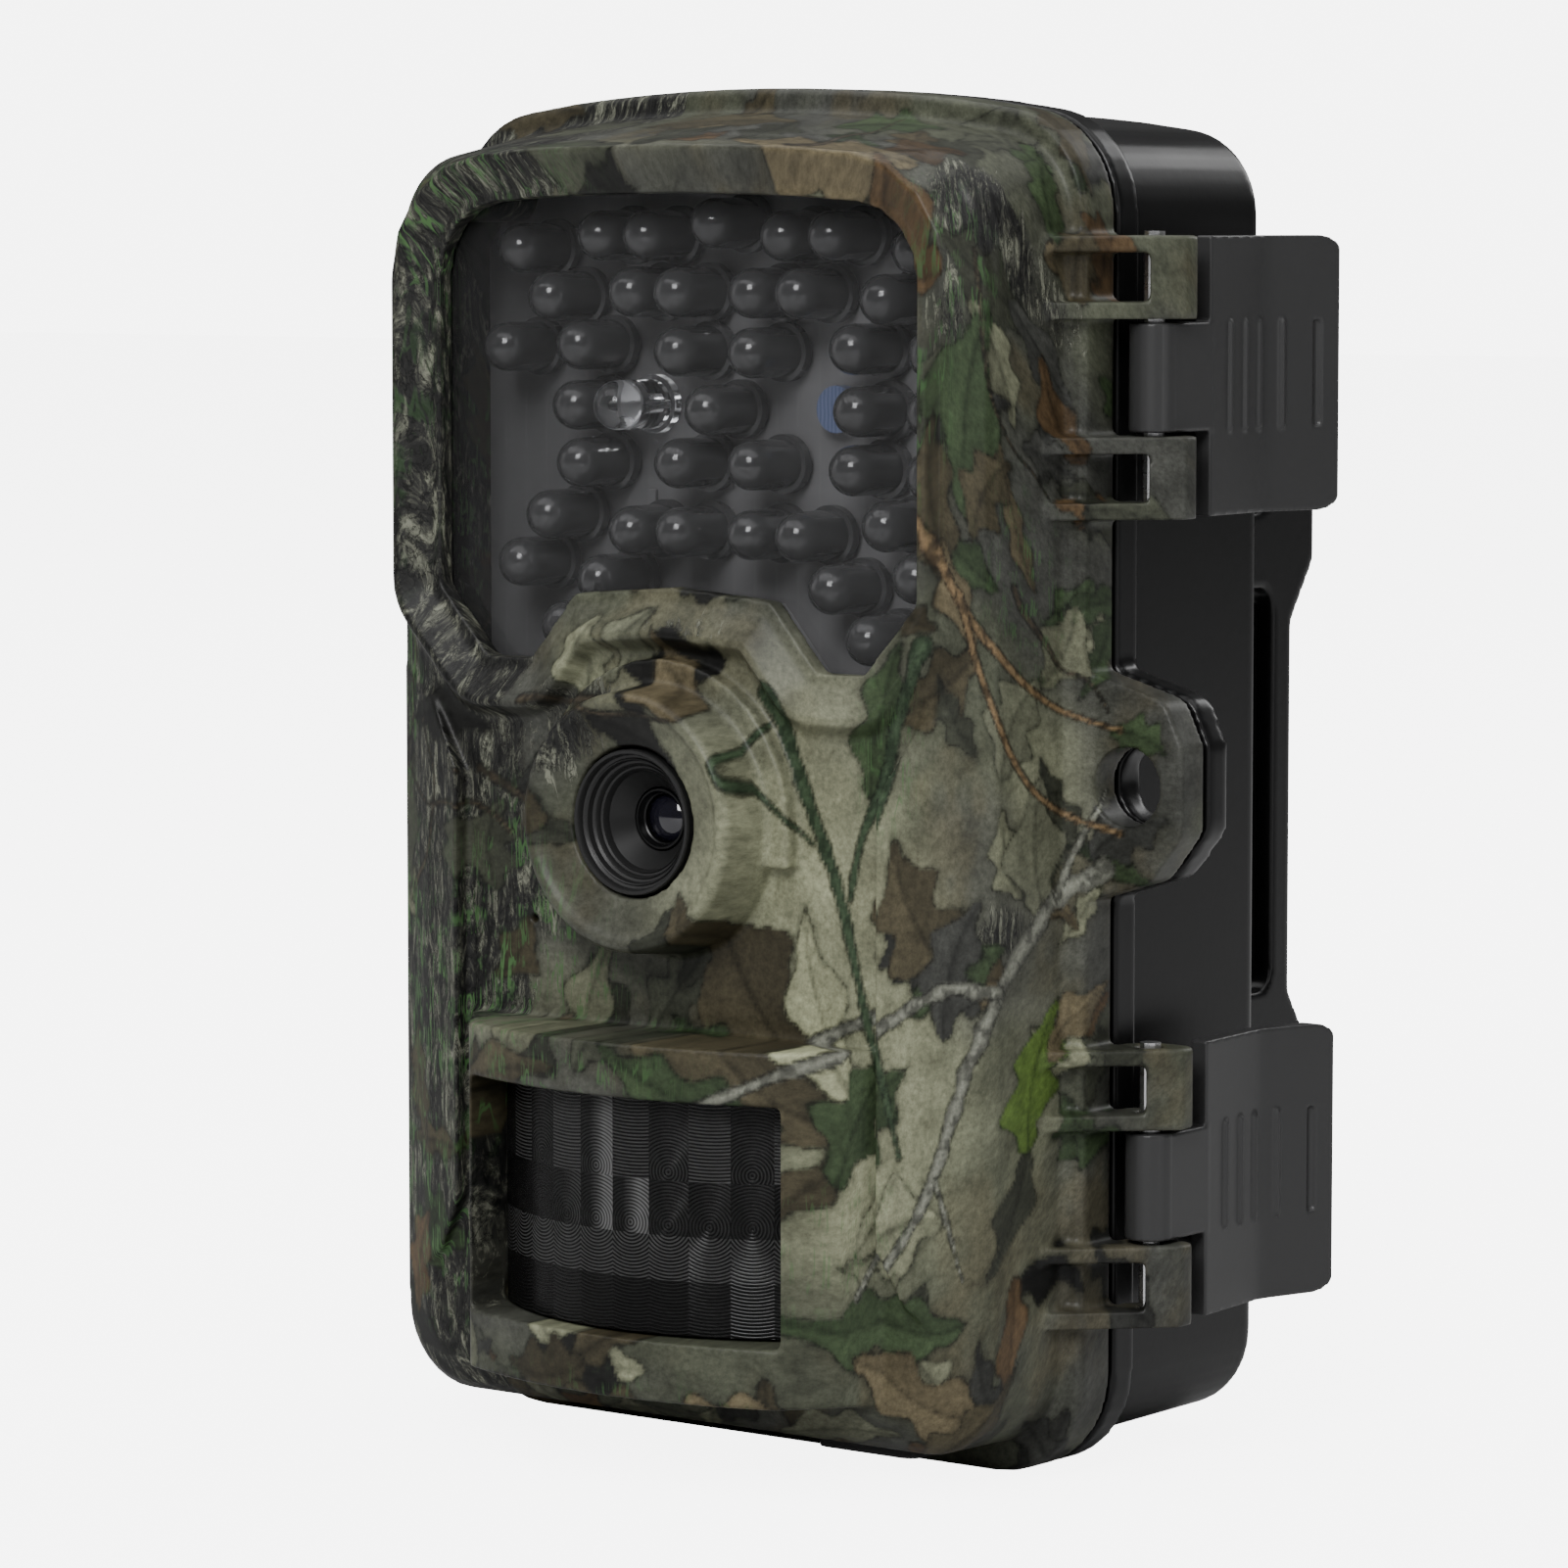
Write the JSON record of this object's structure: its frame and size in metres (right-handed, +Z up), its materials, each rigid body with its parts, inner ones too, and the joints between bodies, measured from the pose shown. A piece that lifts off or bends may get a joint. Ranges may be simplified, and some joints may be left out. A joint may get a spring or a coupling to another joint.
{
  "type": "trail camera",
  "caption": "Weatherproof wildlife camera: lens, infrared window and motion sensor in front, a hinged rear cover with two latches, and tree fins behind.",
  "frame": {"origin": "middle of the underside of the front housing's flange, on which the closed camera stands", "axes": "+Z up along the case, the lens looks along -Y, the latches and the padlock lug are on the +X side"},
  "size_m": [0.0936, 0.0766, 0.1324],
  "materials": {
    "camo_shell": "satin moulding with a printed woodland pattern",
    "black_shell": "satin black",
    "smoked_window": "polished, dark tint",
    "sensor_lens": "glossy with fine Fresnel grooves",
    "circuit_board": "solder mask",
    "clear_plastic": "clear epoxy",
    "lens_glass": "coated glass",
    "light_cell": "tinted epoxy",
    "lens_black": "dull black",
    "grey_plastic": "satin grey",
    "steel": "plain",
    "screen_glass": "glossy, unlit",
    "rubber": "matt",
    "brass": "turned",
    "cell_jacket": "printed sleeve"
  },
  "bodies": {
    "camera_body": {"front_housing": "camo_shell", "control_panel": "black_shell", "infrared_window": "smoked_window", "motion_lens": "sensor_lens", "led_board": "circuit_board", "main_board": "circuit_board", "camera_board": "circuit_board", "motion_board": "circuit_board", "clear_led": "clear_plastic", "lens_glass": "lens_glass", "light_cell": "light_cell", "lens_bezel": "lens_black", "lens_barrel": "lens_black", "lens_holder": "lens_black", "power_jack": "lens_black", "ir_filter_drive": "grey_plastic", "speaker": "grey_plastic", "flat_cable": "grey_plastic", "motion_sensor": "steel", "microphone": "steel", "usb_port": "steel", "card_slot": "steel", "contacts_bottom": "steel", "contacts_top": "steel", "latch_pin_upper": "steel", "latch_pin_lower": "steel", "hinge_pin_upper": "steel", "hinge_pin_lower": "steel", "screen": "screen_glass", "battery_1": "cell_jacket", "panel_screw_1": "steel", "battery_2": "cell_jacket", "panel_screw_2": "steel", "battery_3": "cell_jacket", "panel_screw_3": "steel", "battery_4": "cell_jacket", "panel_screw_4": "steel"},
    "rear_cover": {"rear_cover": "black_shell", "seal": "rubber", "tripod_insert": "brass"},
    "upper_latch": {"latch_upper": "black_shell"},
    "lower_latch": {"latch_lower": "black_shell"},
    "battery_door": {"battery_door": "black_shell"},
    "power_switch": {"power_switch": "grey_plastic"},
    "memory_card": {"memory_card": "black_shell"},
    "port_cover": {"port_cover": "rubber"},
    "button_up": {"button_up": "grey_plastic"},
    "button_down": {"button_down": "grey_plastic"},
    "button_left": {"button_left": "grey_plastic"},
    "button_right": {"button_right": "grey_plastic"},
    "button_ok": {"button_ok": "grey_plastic"},
    "button_menu": {"button_menu": "grey_plastic"},
    "button_shot": {"button_shot": "grey_plastic"}
  },
  "joints": [
    {"name": "cover_hinge", "type": "hinge", "parent": "camera_body", "child": "rear_cover", "pos_m": [-0.0422, 0.0027, 0.0662], "axis": [0, 0, 1], "range_deg": [0, 165]},
    {"name": "upper_latch_hinge", "type": "hinge", "parent": "camera_body", "child": "upper_latch", "pos_m": [0.0423, 0.0031, 0.105], "axis": [0, 0, -1], "range_deg": [0, 110]},
    {"name": "lower_latch_hinge", "type": "hinge", "parent": "camera_body", "child": "lower_latch", "pos_m": [0.0423, 0.0031, 0.0284], "axis": [0, 0, -1], "range_deg": [0, 110]},
    {"name": "battery_door_slide", "type": "slide", "parent": "camera_body", "child": "battery_door", "axis": [0, 0, 1], "range_m": [0, 0.052]},
    {"name": "power_switch_slide", "type": "slide", "parent": "camera_body", "child": "power_switch", "axis": [1, 0, 0], "range_m": [-0.0025, 0.0025]},
    {"name": "memory_card_slide", "type": "slide", "parent": "camera_body", "child": "memory_card", "axis": [0, 0, 1], "range_m": [0, 0.01]},
    {"name": "port_cover_hinge", "type": "hinge", "parent": "camera_body", "child": "port_cover", "pos_m": [0.0135, -0.0081, 0.0028], "axis": [0, 1, 0], "range_deg": [0, 90], "stiffness_Nm_per_rad": 0.0006, "springref_deg": -17.19},
    {"name": "button_up_press", "type": "slide", "parent": "camera_body", "child": "button_up", "axis": [0, -1, 0], "range_m": [0, 0.0007], "stiffness_N_per_m": 250, "springref_m": -0.001},
    {"name": "button_down_press", "type": "slide", "parent": "camera_body", "child": "button_down", "axis": [0, -1, 0], "range_m": [0, 0.0007], "stiffness_N_per_m": 250, "springref_m": -0.001},
    {"name": "button_left_press", "type": "slide", "parent": "camera_body", "child": "button_left", "axis": [0, -1, 0], "range_m": [0, 0.0007], "stiffness_N_per_m": 250, "springref_m": -0.001},
    {"name": "button_right_press", "type": "slide", "parent": "camera_body", "child": "button_right", "axis": [0, -1, 0], "range_m": [0, 0.0007], "stiffness_N_per_m": 250, "springref_m": -0.001},
    {"name": "button_ok_press", "type": "slide", "parent": "camera_body", "child": "button_ok", "axis": [0, -1, 0], "range_m": [0, 0.0007], "stiffness_N_per_m": 250, "springref_m": -0.001},
    {"name": "button_menu_press", "type": "slide", "parent": "camera_body", "child": "button_menu", "axis": [0, -1, 0], "range_m": [0, 0.0007], "stiffness_N_per_m": 250, "springref_m": -0.001},
    {"name": "button_shot_press", "type": "slide", "parent": "camera_body", "child": "button_shot", "axis": [0, -1, 0], "range_m": [0, 0.0007], "stiffness_N_per_m": 250, "springref_m": -0.001}
  ]
}
